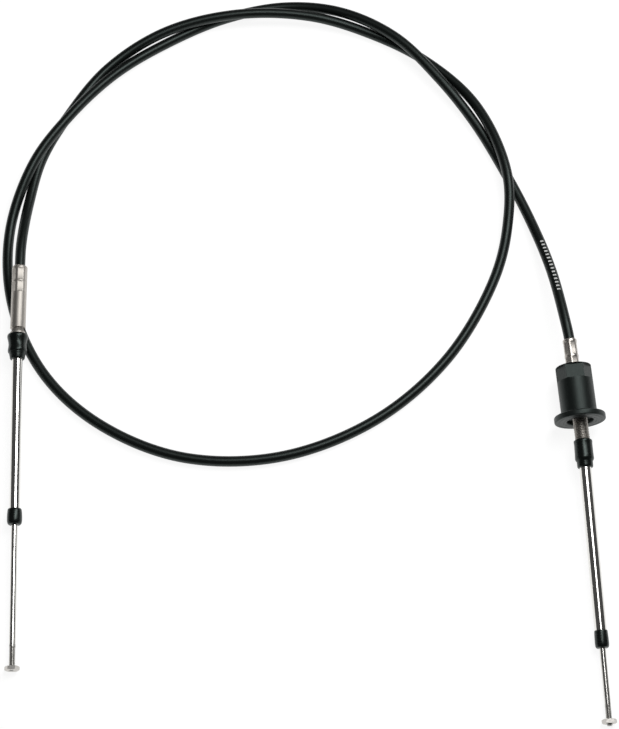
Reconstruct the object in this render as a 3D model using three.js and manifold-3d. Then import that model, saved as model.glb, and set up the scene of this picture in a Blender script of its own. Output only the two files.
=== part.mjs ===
// Push-pull steering cable of a small boat, lying loose on a level floor.
// Millimetres, +Z up. X and Y are centred on the two end fittings, and Z = 0 is the floor.

import * as THREE from 'three';
import { mergeVertices } from 'three/addons/utils/BufferGeometryUtils.js';
import Module from 'manifold-3d';

const wasm = await Module();
wasm.setup();

// Shared by both ends
const SIDES = 24; // sides of a turned piece
const CLEARANCE = 0.3; // gap all round between pieces that slide, screw or crimp together
const SEAL_CLEARANCE = 0.15; // gap between a rubber seal and the tube it grips
const ROD_DIAMETER = 4.76; // 3/16 inch rod, threaded 10-32 at its tip
const ROD_TIP_CHAMFER = 0.5;
const NUT_ACROSS_FLATS = 9.53;
const NUT_THICKNESS = 3.2;
const NUT_CHAMFER = 0.5;
const WIRE_PASSAGE_DIAMETER = 4; // the inner wire runs through here to the rod
const BALL_DIAMETER = 9;
const BALL_NECK_DIAMETER = 7;
const BALL_HALF_WIDTH = 2.8; // the ball is cut flat this far behind its centre
const PIVOT_DEPTH = 1.6; // from the hub's end back to the ball's centre
const SWIVEL_LIMIT = THREE.MathUtils.degToRad(8); // each tube swings this far either way
const TRAVEL_IN = 77; // the left rod goes in this far, and the right one out
const TRAVEL_OUT = 24.6; // the left rod comes out this far, and the right one in

// Conduit, the black jacketed cable
const CONDUIT_DIAMETER = 8;
const CONDUIT_SIDES = 12;
const CONDUIT_INSERTION = 25; // length of the cable inside each hub
const CONDUIT_END_GAP = 1; // from the cable's cut end to the floor of its socket
const PATH_DIVISIONS = 4000; // short lengths that the cable's path is measured in

// Left end: crimped hub with a clamp groove
const LEFT_EXIT = new THREE.Vector3(-217.3, 176.35, 17.6); // middle of the hub's cable end
const LEFT_AZIMUTH = THREE.MathUtils.degToRad(0.7);
const LEFT_SWIVEL_REST = THREE.MathUtils.degToRad(0.9);
const LEFT_HUB_DIAMETER = 11.6;
const LEFT_HUB_LENGTH = 57.4;
const LEFT_CRIMP_START = 1.7;
const LEFT_CRIMP_LENGTH = 7;
const LEFT_CRIMP_RIDGE = 2.8;
const LEFT_GROOVE_START = 48.2;
const LEFT_GROOVE_WIDTH = 3.8;
const LEFT_GROOVE_DIAMETER = 8.6;
const LEFT_BOOT_LENGTH = 20;
const LEFT_BOOT_SHOULDER_DIAMETER = 15.6;
const LEFT_BOOT_WAIST_DIAMETER = 13.5;
const LEFT_BOOT_BULGE_DIAMETER = 14.4;
const LEFT_BOOT_NECK_DIAMETER = 11.2;
const LEFT_BOOT_NECK_LENGTH = 4.6;
const LEFT_TUBE_DIAMETER = 7.9;
const LEFT_TUBE_LENGTH = 146; // from the ball's centre
const LEFT_SEAL_DIAMETER = 11.2;
const LEFT_SEAL_LENGTH = 14.4;
const LEFT_ROD_REACH = 107; // from the seal to the rod's tip, at rest
const LEFT_NUT_INSET = 0.4; // the rod's tip stands this far out of the nut

// Right end: crimp ferrule and threaded barrel, with the hull fitting screwed on
const RIGHT_EXIT_X = 199.74;
const RIGHT_EXIT_Y = 113.35;
const RIGHT_AZIMUTH = THREE.MathUtils.degToRad(5.1);
const RIGHT_SWIVEL_REST = THREE.MathUtils.degToRad(-2.1);
const FERRULE_DIAMETER = 10.6;
const FERRULE_LENGTH = 22.5;
const FERRULE_CRIMP_START = 1.9;
const FERRULE_CRIMP_LENGTH = 8.3;
const FERRULE_CRIMP_RIDGE = 2.2;
const BARREL_DIAMETER = 11.11; // 7/16-20 thread, seen as a plain bar
const RIGHT_HUB_LENGTH = 81.1; // ferrule and barrel together
const FITTING_START = 21.4; // from the cable end of the ferrule
const FITTING_LENGTH = 42.9;
const FITTING_DIAMETER = 26.8;
const FITTING_EDGE = 1.2;
const HEX_LENGTH = 12.7; // the six wrench flats are cut into the round body
const FLANGE_DIAMETER = 38.4;
const FLANGE_THICKNESS = 5;
const FLANGE_EDGE = 1.5;
const RECESS_DIAMETER = 20;
const RECESS_DEPTH = 4;
const RIGHT_BOOT_LENGTH = 18.4;
const RIGHT_BOOT_SHOULDER_DIAMETER = 13.4;
const RIGHT_BOOT_BULGE_DIAMETER = 14.2;
const RIGHT_BOOT_NECK_DIAMETER = 11.3;
const RIGHT_BOOT_NECK_LENGTH = 3.6;
const RIGHT_TUBE_DIAMETER = 9;
const RIGHT_TUBE_LENGTH = 151.4; // from the ball's centre
const RIGHT_SEAL_DIAMETER = 10.3;
const RIGHT_SEAL_LENGTH = 13.5;
const RIGHT_ROD_REACH = 56.1; // from the seal to the rod's tip, at rest
const RIGHT_NUT_INSET = 1.6;

// Both ends' smaller sizes
const HUB_CHAMFER = 0.8;
const CRIMP_DEPTH = 0.45;
const SEAL_FLOOR = 3.8; // rubber between the tube's end and the outside
const SEAL_SHOULDER = 2.3;
const BOOT_EDGE = 1;

// Points of the cable's middle line between its two hubs, chosen on the photograph.
// It makes one and a half turns, and its two turns cross four times along the far side.
const ROUTE = [
  [-217.3, 196.8, 16.2],
  [-214.3, 235.3, 7.2],
  [-206.3, 274.8, 4.4],
  [-188.8, 310.8, 4.4],
  [-157.3, 355.8, 5],
  [-111.8, 386.3, 10.6],
  [-54.8, 401.3, 12.9],
  [4.7, 401.3, 10],
  [52.7, 388.3, 5],
  [96.7, 363.8, 4.4],
  [135.7, 321.8, 8.4],
  [158.2, 259.8, 12.9],
  [157.7, 215.3, 8.4],
  [146.2, 171.3, 4.6],
  [108.7, 105.8, 4.2],
  [53.2, 55.8, 4.2],
  [-18.3, 26.8, 4.2],
  [-92.3, 26.8, 4.2],
  [-155.8, 54.3, 4.2],
  [-198.3, 95.3, 4.2],
  [-223.8, 151.8, 4.2],
  [-228.3, 211.8, 5.2],
  [-212.3, 265.8, 12.9],
  [-187.3, 306.3, 12.9],
  [-151.8, 348.8, 7.8],
  [-111.8, 378.8, 4.4],
  [-64.3, 402.3, 4.2],
  [-15.8, 412.8, 5],
  [29.7, 405.3, 9.6],
  [72.7, 380.8, 12.8],
  [107.2, 344.3, 10.4],
  [134.7, 307.3, 5.6],
  [157.7, 263.8, 4.2],
  [175.7, 221.3, 6.2],
  [189.2, 174.3, 15.8],
  [197.2, 128.8, 23.6],
];

// Materials as they look in the photograph
const JACKET = { color: 0x1b1e1d, roughness: 0.42, metalness: 0 };
const SATIN_STEEL = { color: 0xb9b3a8, roughness: 0.34, metalness: 1 };
const POLISHED_STEEL = { color: 0xd5d4d0, roughness: 0.1, metalness: 1 };
const PLATED_STEEL = { color: 0xcac6bd, roughness: 0.28, metalness: 1 };
const RUBBER = { color: 0x101413, roughness: 0.5, metalness: 0 };
const NYLON = { color: 0x202423, roughness: 0.72, metalness: 0 };

/** Solid turned about +Y from [radius, height] points, up its outside and down its inside. */
function turned(points) {
  return new THREE.LatheGeometry(points.map(([r, y]) => new THREE.Vector2(r, y)), SIDES);
}

/** Regular hexagon with two of its sides facing up and down. */
function hexagon(acrossFlats) {
  const corner = acrossFlats / Math.sqrt(3);
  return Array.from({ length: 6 }, (_, i) => {
    const angle = (i * Math.PI) / 3;
    return new THREE.Vector2(corner * Math.cos(angle), corner * Math.sin(angle));
  });
}

/** Outline extruded along +Y, from one height to another. */
function extruded(shape, start, end) {
  const geometry = new THREE.ExtrudeGeometry(shape, { depth: end - start, bevelEnabled: false });
  return geometry.rotateX(-Math.PI / 2).translate(0, start, 0);
}

/** The closed solid of a geometry, for cutting. */
function toSolid(geometry) {
  const bare = geometry.clone();
  bare.deleteAttribute('normal');
  bare.deleteAttribute('uv');
  const merged = mergeVertices(bare);
  const index = Array.from(merged.index.array);
  const kept = [];
  for (let i = 0; i < index.length; i += 3) {
    const [a, b, c] = index.slice(i, i + 3);
    if (a !== b && b !== c && c !== a) kept.push(a, b, c);
  }
  return new wasm.Manifold(new wasm.Mesh({
    numProp: 3,
    vertProperties: new Float32Array(merged.attributes.position.array),
    triVerts: new Uint32Array(kept),
  }));
}

/** The geometry of a cut solid. */
function toGeometry(solid) {
  const mesh = solid.getMesh();
  const geometry = new THREE.BufferGeometry();
  geometry.setAttribute('position', new THREE.BufferAttribute(mesh.vertProperties, 3));
  geometry.setIndex(new THREE.BufferAttribute(mesh.triVerts, 1));
  geometry.computeVertexNormals();
  return geometry;
}

function piece(name, geometry, finish) {
  const mesh = new THREE.Mesh(geometry, new THREE.MeshStandardMaterial(finish));
  mesh.name = name;
  return mesh;
}

/** Everything outside a hexagon, between two heights: it cuts six flats into a round bar. */
function flatCutter(acrossFlats, barDiameter, start, end) {
  const outside = new THREE.Shape().absarc(0, 0, barDiameter, 0, 2 * Math.PI);
  outside.holes.push(new THREE.Path(hexagon(acrossFlats)));
  return toSolid(extruded(outside, start, end));
}

/** Cuts two bands of six flats, as a crimping tool leaves them, with a round ridge between. */
function crimped(geometry, diameter, start, length, ridge) {
  const acrossFlats = diameter - 2 * CRIMP_DEPTH;
  const second = start + length + ridge;
  const bands = flatCutter(acrossFlats, diameter, start, start + length)
    .add(flatCutter(acrossFlats, diameter, second, second + length));
  return toGeometry(toSolid(geometry).subtract(bands));
}

/** Inside of a hub, from its free end back to the cable: ball socket, wire passage, cable socket. */
function hubBore(length) {
  const socket = BALL_DIAMETER / 2 + CLEARANCE;
  const floor = length - PIVOT_DEPTH - BALL_HALF_WIDTH - CLEARANCE - ballSwing();
  const cable = CONDUIT_DIAMETER / 2 + CLEARANCE;
  const cableFloor = CONDUIT_INSERTION + CONDUIT_END_GAP;
  return [
    [socket, length],
    [socket, floor],
    [WIRE_PASSAGE_DIAMETER / 2, floor],
    [WIRE_PASSAGE_DIAMETER / 2, cableFloor],
    [cable, cableFloor],
    [cable, 0],
  ];
}

/** How far the rim of the ball's flat back reaches past the flat when the tube swings. */
function ballSwing() {
  const rim = Math.sqrt((BALL_DIAMETER / 2) ** 2 - BALL_HALF_WIDTH ** 2);
  return rim * Math.sin(SWIVEL_LIMIT);
}

/** How far a corner at this radius and distance past the ball's centre reaches when swung. */
function cornerReach(radius, distance) {
  return distance * Math.cos(SWIVEL_LIMIT) + radius * Math.sin(SWIVEL_LIMIT);
}

/** Gap that lets a boot swing over the hub's end. */
function bootSwingGap() {
  return CLEARANCE + PIVOT_DEPTH * Math.sin(SWIVEL_LIMIT);
}

function leftHub() {
  const outer = LEFT_HUB_DIAMETER / 2;
  const groove = LEFT_GROOVE_DIAMETER / 2;
  const bore = hubBore(LEFT_HUB_LENGTH);
  const mouth = bore[bore.length - 1];
  const body = turned([
    mouth,
    [outer - HUB_CHAMFER, 0],
    [outer, HUB_CHAMFER],
    [outer, LEFT_GROOVE_START],
    [groove, LEFT_GROOVE_START],
    [groove, LEFT_GROOVE_START + LEFT_GROOVE_WIDTH],
    [outer, LEFT_GROOVE_START + LEFT_GROOVE_WIDTH],
    [outer, LEFT_HUB_LENGTH],
    ...bore,
  ]);
  return piece('left_hub', crimped(
    body, LEFT_HUB_DIAMETER, LEFT_CRIMP_START, LEFT_CRIMP_LENGTH, LEFT_CRIMP_RIDGE,
  ), SATIN_STEEL);
}

function rightHub() {
  const ferrule = FERRULE_DIAMETER / 2;
  const barrel = BARREL_DIAMETER / 2;
  const bore = hubBore(RIGHT_HUB_LENGTH);
  const mouth = bore[bore.length - 1];
  const body = turned([
    mouth,
    [ferrule - HUB_CHAMFER / 2, 0],
    [ferrule, HUB_CHAMFER / 2],
    [ferrule, FERRULE_LENGTH],
    [barrel, FERRULE_LENGTH],
    [barrel, RIGHT_HUB_LENGTH],
    ...bore,
  ]);
  return piece('right_hub', crimped(
    body, FERRULE_DIAMETER, FERRULE_CRIMP_START, FERRULE_CRIMP_LENGTH, FERRULE_CRIMP_RIDGE,
  ), SATIN_STEEL);
}

/** Flanged plastic fitting that screws along the barrel and seats on the hull. */
function hullFitting() {
  const body = FITTING_DIAMETER / 2;
  const flange = FLANGE_DIAMETER / 2;
  const bore = BARREL_DIAMETER / 2 + CLEARANCE;
  const end = FITTING_START + FITTING_LENGTH;
  const flangeStart = end - FLANGE_THICKNESS;
  const blank = turned([
    [bore, FITTING_START],
    [body - FITTING_EDGE, FITTING_START],
    [body, FITTING_START + FITTING_EDGE],
    [body, flangeStart],
    [flange - FLANGE_EDGE, flangeStart],
    [flange, flangeStart + FLANGE_EDGE],
    [flange, end - FLANGE_EDGE],
    [flange - FLANGE_EDGE, end],
    [RECESS_DIAMETER / 2, end],
    [RECESS_DIAMETER / 2, end - RECESS_DEPTH],
    [bore, end - RECESS_DEPTH],
    [bore, FITTING_START],
  ]);
  const acrossFlats = (FITTING_DIAMETER * Math.sqrt(3)) / 2;
  const flats = flatCutter(
    acrossFlats, FITTING_DIAMETER, FITTING_START - CLEARANCE, FITTING_START + HEX_LENGTH,
  );
  return piece('hull_fitting', toGeometry(toSolid(blank).subtract(flats)), NYLON);
}

/** Inside of a rubber boot, from its free end back over the hub. */
function bootBore(length, hubDiameter, tubeDiameter) {
  const hub = hubDiameter / 2 + bootSwingGap();
  const grip = tubeDiameter / 2 + CLEARANCE;
  const step = cornerReach(hubDiameter / 2, PIVOT_DEPTH) + CLEARANCE;
  return [
    [grip, length - PIVOT_DEPTH],
    [grip, step],
    [hub, step],
    [hub, -PIVOT_DEPTH],
  ];
}

/** Left boot: wide shoulder, waist, bulge, then a narrow neck on the tube. */
function leftBoot() {
  const start = -PIVOT_DEPTH;
  const end = start + LEFT_BOOT_LENGTH;
  const neckStart = end - LEFT_BOOT_NECK_LENGTH;
  const bore = bootBore(LEFT_BOOT_LENGTH, LEFT_HUB_DIAMETER, LEFT_TUBE_DIAMETER);
  const shoulder = LEFT_BOOT_SHOULDER_DIAMETER / 2;
  const bulge = LEFT_BOOT_BULGE_DIAMETER / 2;
  const neck = LEFT_BOOT_NECK_DIAMETER / 2;
  return piece('left_boot', turned([
    bore[bore.length - 1],
    [shoulder - BOOT_EDGE, start],
    [shoulder, start + BOOT_EDGE],
    [shoulder, start + 3 * BOOT_EDGE],
    [LEFT_BOOT_WAIST_DIAMETER / 2, (start + neckStart) / 2],
    [bulge, neckStart - 3 * BOOT_EDGE],
    [bulge, neckStart - BOOT_EDGE],
    [neck, neckStart],
    [neck, end - BOOT_EDGE / 2],
    [neck - BOOT_EDGE / 2, end],
    ...bore,
  ]), RUBBER);
}

/** Right boot: widens evenly from its shoulder to a bulge, then a narrow neck on the tube. */
function rightBoot() {
  const start = -PIVOT_DEPTH;
  const end = start + RIGHT_BOOT_LENGTH;
  const neckStart = end - RIGHT_BOOT_NECK_LENGTH;
  const bore = bootBore(RIGHT_BOOT_LENGTH, BARREL_DIAMETER, RIGHT_TUBE_DIAMETER);
  const shoulder = RIGHT_BOOT_SHOULDER_DIAMETER / 2;
  const bulge = RIGHT_BOOT_BULGE_DIAMETER / 2;
  const neck = RIGHT_BOOT_NECK_DIAMETER / 2;
  return piece('right_boot', turned([
    bore[bore.length - 1],
    [shoulder - BOOT_EDGE / 2, start],
    [shoulder, start + BOOT_EDGE],
    [bulge, neckStart - 2 * BOOT_EDGE],
    [bulge, neckStart - BOOT_EDGE],
    [neck, neckStart],
    [neck, end - BOOT_EDGE / 2],
    [neck - BOOT_EDGE / 2, end],
    ...bore,
  ]), RUBBER);
}

/** Polished tube with a hollow ball at its hub end, bored right through for the rod. */
function swivelTube(name, diameter, length) {
  const ball = BALL_DIAMETER / 2;
  const neck = BALL_NECK_DIAMETER / 2;
  const rim = Math.sqrt(ball ** 2 - BALL_HALF_WIDTH ** 2);
  const neckStart = Math.sqrt(ball ** 2 - neck ** 2);
  const shoulder = PIVOT_DEPTH + CLEARANCE + (diameter / 2) * Math.sin(SWIVEL_LIMIT);
  const wide = Math.max(shoulder, neckStart);
  const bore = ROD_DIAMETER / 2 + CLEARANCE;
  return piece(name, turned([
    [bore, -BALL_HALF_WIDTH],
    [rim, -BALL_HALF_WIDTH],
    [Math.sqrt(ball ** 2 - (BALL_HALF_WIDTH / 2) ** 2), -BALL_HALF_WIDTH / 2],
    [ball, 0],
    [Math.sqrt(ball ** 2 - (neckStart / 2) ** 2), neckStart / 2],
    [neck, neckStart],
    [diameter / 2, wide + (diameter / 2 - neck)],
    [diameter / 2, length],
    [bore, length],
    [bore, -BALL_HALF_WIDTH],
  ]), POLISHED_STEEL);
}

/** Rubber wiper stretched over the tube's free end, with the rod through it. */
function seal(name, diameter, length, tubeDiameter, tubeLength) {
  const grip = tubeDiameter / 2 + SEAL_CLEARANCE;
  const hole = ROD_DIAMETER / 2 + CLEARANCE;
  const end = tubeLength + SEAL_CLEARANCE + SEAL_FLOOR;
  const start = end - length;
  const outer = diameter / 2;
  return piece(name, turned([
    [grip, start],
    [(grip + outer) / 2, start],
    [(grip + 2 * outer) / 3, start + SEAL_SHOULDER],
    [outer, end - SEAL_SHOULDER],
    [outer, end - SEAL_SHOULDER / 2],
    [(hole + outer) / 2, end],
    [hole, end],
    [hole, tubeLength + SEAL_CLEARANCE],
    [grip, tubeLength + SEAL_CLEARANCE],
    [grip, start],
  ]), RUBBER);
}

/** Height of the seal's free face along the tube. */
function sealEnd(tubeLength) {
  return tubeLength + SEAL_CLEARANCE + SEAL_FLOOR;
}

/** Plain rod. Its inner end stays in the tube when the rod is pushed right in. */
function rod(name, inwardTravel, tip) {
  const radius = ROD_DIAMETER / 2;
  const start = inwardTravel + CLEARANCE - BALL_HALF_WIDTH;
  return piece(name, turned([
    [0, start],
    [radius, start],
    [radius, tip - ROD_TIP_CHAMFER],
    [radius - ROD_TIP_CHAMFER, tip],
    [0, tip],
  ]), POLISHED_STEEL);
}

/** Hexagon nut on the rod's thread, chamfered on both faces. */
function nut(name, tip, inset) {
  const end = tip - inset;
  const start = end - NUT_THICKNESS;
  const corner = NUT_ACROSS_FLATS / Math.sqrt(3);
  const prism = toSolid(extruded(new THREE.Shape(hexagon(NUT_ACROSS_FLATS)), start, end));
  const chamfer = toSolid(turned([
    [0, start],
    [NUT_ACROSS_FLATS / 2, start],
    [corner + NUT_CHAMFER / 2, start + NUT_CHAMFER],
    [corner + NUT_CHAMFER / 2, end - NUT_CHAMFER],
    [NUT_ACROSS_FLATS / 2, end],
    [0, end],
  ]));
  const bore = ROD_DIAMETER / 2 + CLEARANCE;
  const hole = toSolid(turned([
    [0, start - NUT_CHAMFER],
    [bore, start - NUT_CHAMFER],
    [bore, end + NUT_CHAMFER],
    [0, end + NUT_CHAMFER],
  ]));
  return piece(name, toGeometry(prism.intersect(chamfer).subtract(hole)), PLATED_STEEL);
}

/** Group whose +Y runs from the cable out along an end fitting and whose +Z stays upright. */
function endGroup(exit, azimuth, slope) {
  const along = new THREE.Vector3(
    Math.sin(azimuth) * Math.cos(slope), -Math.cos(azimuth) * Math.cos(slope), -Math.sin(slope),
  );
  const side = new THREE.Vector3().crossVectors(along, new THREE.Vector3(0, 0, 1)).normalize();
  const upright = new THREE.Vector3().crossVectors(side, along);
  const group = new THREE.Group();
  group.position.copy(exit);
  group.quaternion.setFromRotationMatrix(new THREE.Matrix4().makeBasis(side, along, upright));
  return group;
}

/** Group that holds what swings with a tube, about the centre of its ball. */
function swivelGroup(hubLength, rest, members) {
  const group = new THREE.Group();
  group.position.y = hubLength - PIVOT_DEPTH;
  group.rotation.z = rest;
  group.add(...members);
  return group;
}

/** Slope at which the nut's lower flat meets the floor, from the height of the cable end. */
function slopeToFloor(height, distance) {
  const half = NUT_ACROSS_FLATS / 2;
  return Math.asin(height / Math.hypot(distance, half)) - Math.atan2(half, distance);
}

const leftTip = sealEnd(LEFT_TUBE_LENGTH) + LEFT_ROD_REACH;
const leftNutEnd = LEFT_HUB_LENGTH - PIVOT_DEPTH + leftTip - LEFT_NUT_INSET;
const leftEnd = endGroup(LEFT_EXIT, LEFT_AZIMUTH, slopeToFloor(LEFT_EXIT.z, leftNutEnd));
leftEnd.add(leftHub(), swivelGroup(LEFT_HUB_LENGTH, LEFT_SWIVEL_REST, [
  leftBoot(),
  swivelTube('left_tube', LEFT_TUBE_DIAMETER, LEFT_TUBE_LENGTH),
  seal('left_seal', LEFT_SEAL_DIAMETER, LEFT_SEAL_LENGTH, LEFT_TUBE_DIAMETER, LEFT_TUBE_LENGTH),
  rod('left_rod', TRAVEL_IN, leftTip),
  nut('left_nut', leftTip, LEFT_NUT_INSET),
]));

// The flange's rim and the right nut both rest on the floor, which sets the slope and the height.
const rightTip = sealEnd(RIGHT_TUBE_LENGTH) + RIGHT_ROD_REACH;
const rightNutEnd = RIGHT_HUB_LENGTH - PIVOT_DEPTH + rightTip - RIGHT_NUT_INSET;
const rimEnd = FITTING_START + FITTING_LENGTH - FLANGE_EDGE;
const rightSlope = Math.atan2(
  (FLANGE_DIAMETER - NUT_ACROSS_FLATS) / 2, rightNutEnd - rimEnd,
);
const rightExitHeight = rimEnd * Math.sin(rightSlope)
  + (FLANGE_DIAMETER / 2) * Math.cos(rightSlope);
const rightExit = new THREE.Vector3(RIGHT_EXIT_X, RIGHT_EXIT_Y, rightExitHeight);
const rightEnd = endGroup(rightExit, RIGHT_AZIMUTH, rightSlope);
rightEnd.add(rightHub(), hullFitting(), swivelGroup(RIGHT_HUB_LENGTH, RIGHT_SWIVEL_REST, [
  rightBoot(),
  swivelTube('right_tube', RIGHT_TUBE_DIAMETER, RIGHT_TUBE_LENGTH),
  seal(
    'right_seal', RIGHT_SEAL_DIAMETER, RIGHT_SEAL_LENGTH, RIGHT_TUBE_DIAMETER, RIGHT_TUBE_LENGTH,
  ),
  rod('right_rod', TRAVEL_OUT, rightTip),
  nut('right_nut', rightTip, RIGHT_NUT_INSET),
]));

/** The cable, from inside the left hub along its route to inside the right hub. */
function conduit() {
  leftEnd.updateMatrixWorld();
  rightEnd.updateMatrixWorld();
  const points = [
    leftEnd.localToWorld(new THREE.Vector3(0, CONDUIT_INSERTION, 0)),
    leftEnd.position,
    ...ROUTE.map((point) => new THREE.Vector3(...point)),
    rightEnd.position,
    rightEnd.localToWorld(new THREE.Vector3(0, CONDUIT_INSERTION, 0)),
  ];
  const path = new THREE.CatmullRomCurve3(points, false, 'centripetal');
  path.arcLengthDivisions = PATH_DIVISIONS;
  const steps = Math.round(path.getLength() / CONDUIT_INSERTION); // one step inside each hub
  const radius = CONDUIT_DIAMETER / 2;
  const section = new THREE.Shape(Array.from({ length: CONDUIT_SIDES }, (_, i) => {
    const angle = (2 * Math.PI * i) / CONDUIT_SIDES;
    return new THREE.Vector2(radius * Math.cos(angle), radius * Math.sin(angle));
  }));
  return piece('conduit', new THREE.ExtrudeGeometry(section, {
    steps, extrudePath: path,
  }), JACKET);
}

const cable = new THREE.Group();
cable.add(conduit(), leftEnd, rightEnd);

export default cable;
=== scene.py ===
"""Looks of a small boat's push-pull steering cable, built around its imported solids.

Each end fitting is modelled in millimetres in a frame of its own, whose +Y runs from the
cable out along the fitting and whose +Z is upright, and is then placed in the row frame in
metres. The same local millimetres are kept on each mesh as an attribute, so that turning
marks, die lines and grain follow the piece.
"""

from __future__ import annotations

import logging
import math
from bisect import bisect_left
from collections.abc import Callable, Sequence
from dataclasses import dataclass, field
from enum import Enum

import bmesh
import bpy
from mathutils import Matrix, Vector

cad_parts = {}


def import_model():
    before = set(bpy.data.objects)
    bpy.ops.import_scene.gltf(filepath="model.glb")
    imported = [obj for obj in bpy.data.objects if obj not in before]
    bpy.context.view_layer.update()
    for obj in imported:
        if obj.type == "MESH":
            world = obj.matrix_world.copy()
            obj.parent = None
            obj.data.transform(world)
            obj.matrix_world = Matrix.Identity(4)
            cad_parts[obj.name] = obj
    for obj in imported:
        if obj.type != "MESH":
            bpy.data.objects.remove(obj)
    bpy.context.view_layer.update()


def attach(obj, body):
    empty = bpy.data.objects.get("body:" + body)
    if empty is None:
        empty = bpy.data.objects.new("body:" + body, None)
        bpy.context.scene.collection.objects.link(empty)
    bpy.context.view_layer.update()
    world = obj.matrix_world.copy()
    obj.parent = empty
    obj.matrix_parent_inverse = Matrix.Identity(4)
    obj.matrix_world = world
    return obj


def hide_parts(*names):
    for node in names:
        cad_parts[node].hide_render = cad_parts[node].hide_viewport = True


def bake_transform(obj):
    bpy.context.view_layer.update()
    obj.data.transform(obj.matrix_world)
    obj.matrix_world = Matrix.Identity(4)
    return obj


LOG = logging.getLogger("steering_cable")
LOCAL = "local"  # attribute that holds a point's place on its own piece, in millimetres
MM = 0.001
ROUND_OFF = 0.001  # slack for heights kept in single precision, in millimetres
CRIMP_TURN = 15.0  # degrees by which the crimping tool stood turned
BLACK_SHINE = {"Specular IOR Level": 0.45, "Specular Tint": (0.84, 1.0, 0.95)}  # black plastics

Profile = tuple[tuple[float, float], ...]
Colour = tuple[float, float, float]
Settings = dict[str, object]


class Body(Enum):
    """The moving bodies that pieces ride on."""

    CABLE = "cable"
    LEFT_SWIVEL = "left_swivel"
    LEFT_PLUNGER = "left_plunger"
    RIGHT_SWIVEL = "right_swivel"
    RIGHT_PLUNGER = "right_plunger"


class Grain(Enum):
    """Which way a metal piece's fine marks run, as the stretch of its noise."""

    AROUND = (0.25, 14.0, 0.25)
    ALONG = (9.0, 0.12, 9.0)


class Signal:
    """A number on a shader socket, on which Python's arithmetic adds Math nodes."""

    def __init__(self, graph: Graph, socket: bpy.types.NodeSocket) -> None:
        """Wraps a socket.

        Args:
            graph: The material's graph.
            socket: The output that carries the number.
        """
        self.graph = graph
        self.socket = socket

    def _math(self, operation: str, first: Signal | float, second: Signal | float) -> Signal:
        """Adds one Math node on two numbers."""
        made = self.graph.node("ShaderNodeMath", {"operation": operation}, {0: first, 1: second})
        return Signal(self.graph, made.outputs[0])

    def __add__(self, other: Signal | float) -> Signal:
        """This plus another."""
        return self._math("ADD", self, other)

    def __radd__(self, other: float) -> Signal:
        """A number plus this."""
        return self._math("ADD", other, self)

    def __sub__(self, other: Signal | float) -> Signal:
        """This less another."""
        return self._math("SUBTRACT", self, other)

    def __rsub__(self, other: float) -> Signal:
        """A number less this."""
        return self._math("SUBTRACT", other, self)

    def __mul__(self, other: Signal | float) -> Signal:
        """This times another."""
        return self._math("MULTIPLY", self, other)

    def __rmul__(self, other: float) -> Signal:
        """A number times this."""
        return self._math("MULTIPLY", other, self)

    def __mod__(self, other: float) -> Signal:
        """What is left of this after whole lots of another."""
        return self._math("FLOORED_MODULO", self, other)

    def __abs__(self) -> Signal:
        """This without its sign."""
        return self._math("ABSOLUTE", self, 0.0)


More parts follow.
